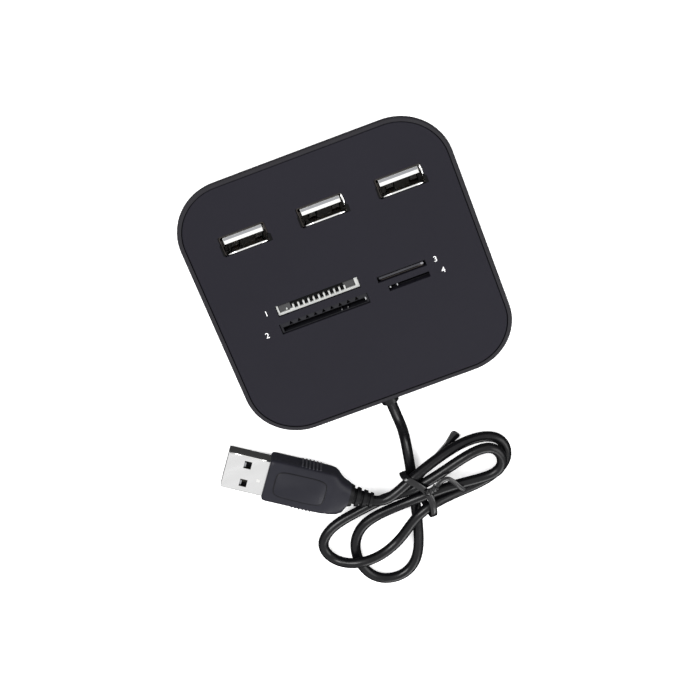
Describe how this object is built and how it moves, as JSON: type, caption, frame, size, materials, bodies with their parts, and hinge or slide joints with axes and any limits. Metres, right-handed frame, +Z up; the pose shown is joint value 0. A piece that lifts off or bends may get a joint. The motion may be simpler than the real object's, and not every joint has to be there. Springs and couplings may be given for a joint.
{
  "type": "usb hub card reader combo",
  "caption": "Square dark desktop hub with a row of upright data sockets, memory card slots in its flat face and a tied cable that ends in a flat plug.",
  "frame": {"origin": "bottom centre of the case, on the surface that its rubber feet stand on, with the cable, its gland and its plug left out", "axes": "+Z points up out of the face with the sockets, +X runs along the row of upright sockets, +Y points from the cable to that row"},
  "size_m": [0.0981, 0.146, 0.022],
  "materials": {
    "case": "dark grey moulded plastic with a satin rim",
    "face": "dark blue-grey moulded plastic with a fine satin grain",
    "screw_steel": "zinc-plated steel",
    "foot_rubber": "black rubber",
    "board": "green solder mask",
    "chip": "black moulded package",
    "can": "drawn aluminium can",
    "shell_steel": "nickel-plated sheet steel",
    "pale_plastic": "pale grey moulded plastic",
    "dark_plastic": "black moulded plastic",
    "contact_metal": "gold-flashed contact metal",
    "cable_rubber": "black flexible plastic jacket, slightly glossy",
    "lead_insulation": "coloured lead insulation",
    "tie_plastic": "black plastic-coated tie",
    "grip_plastic": "dark grey overmoulded plastic"
  },
  "bodies": {
    "root": {"bottom_shell": "case", "face_plate": "face", "case_screws": "screw_steel", "rubber_foot_1": "foot_rubber", "rubber_foot_2": "foot_rubber", "rubber_foot_3": "foot_rubber", "rubber_foot_4": "foot_rubber", "main_board": "board", "hub_chip": "chip", "reader_chip": "chip", "crystals": "shell_steel", "supply_capacitors": "can", "port_shell_1": "shell_steel", "port_shell_2": "shell_steel", "port_shell_3": "shell_steel", "port_tongue_1": "pale_plastic", "port_tongue_2": "pale_plastic", "port_tongue_3": "pale_plastic", "port_contacts_1": "contact_metal", "port_contacts_2": "contact_metal", "port_contacts_3": "contact_metal", "upper_wide_card_socket": "pale_plastic", "upper_wide_contacts": "contact_metal", "lower_wide_card_socket": "dark_plastic", "lower_wide_contacts": "contact_metal", "upper_small_card_socket": "dark_plastic", "upper_small_contacts": "contact_metal", "upper_small_shield": "shell_steel", "lower_small_card_socket": "dark_plastic", "lower_small_contacts": "contact_metal", "cable_gland": "cable_rubber", "cable_leads": "lead_insulation", "cable_cord": "cable_rubber", "cable_tie": "tie_plastic", "plug_grip": "grip_plastic", "plug_shell": "shell_steel", "plug_tongue": "dark_plastic", "plug_contacts": "contact_metal"}
  },
  "joints": []
}
